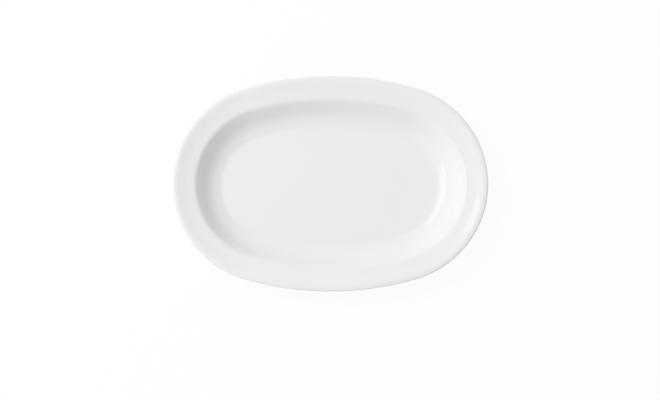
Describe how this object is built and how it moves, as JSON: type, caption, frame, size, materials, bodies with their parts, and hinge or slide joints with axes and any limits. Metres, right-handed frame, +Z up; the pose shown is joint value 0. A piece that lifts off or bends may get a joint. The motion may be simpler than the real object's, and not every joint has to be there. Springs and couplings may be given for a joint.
{
  "type": "serving platter",
  "caption": "Oval white china serving platter with a narrow sloping rim, a rolled lip, a deep flat-floored well and a low foot ring.",
  "frame": {"origin": "centre of the oval foot ring, on the surface that the platter stands on", "axes": "+X along the platter's length, +Y across its width, +Z up, out of the well"},
  "size_m": [0.32, 0.2216, 0.029],
  "materials": {
    "china_body": "unglazed fired china, bare on the foot ring",
    "outer_glaze": "clear glossy glaze over white china",
    "base_glaze": "clear glossy glaze over white china"
  },
  "bodies": {
    "root": {"china_body": "china_body", "outer_glaze": "outer_glaze", "base_glaze": "base_glaze"}
  },
  "joints": []
}
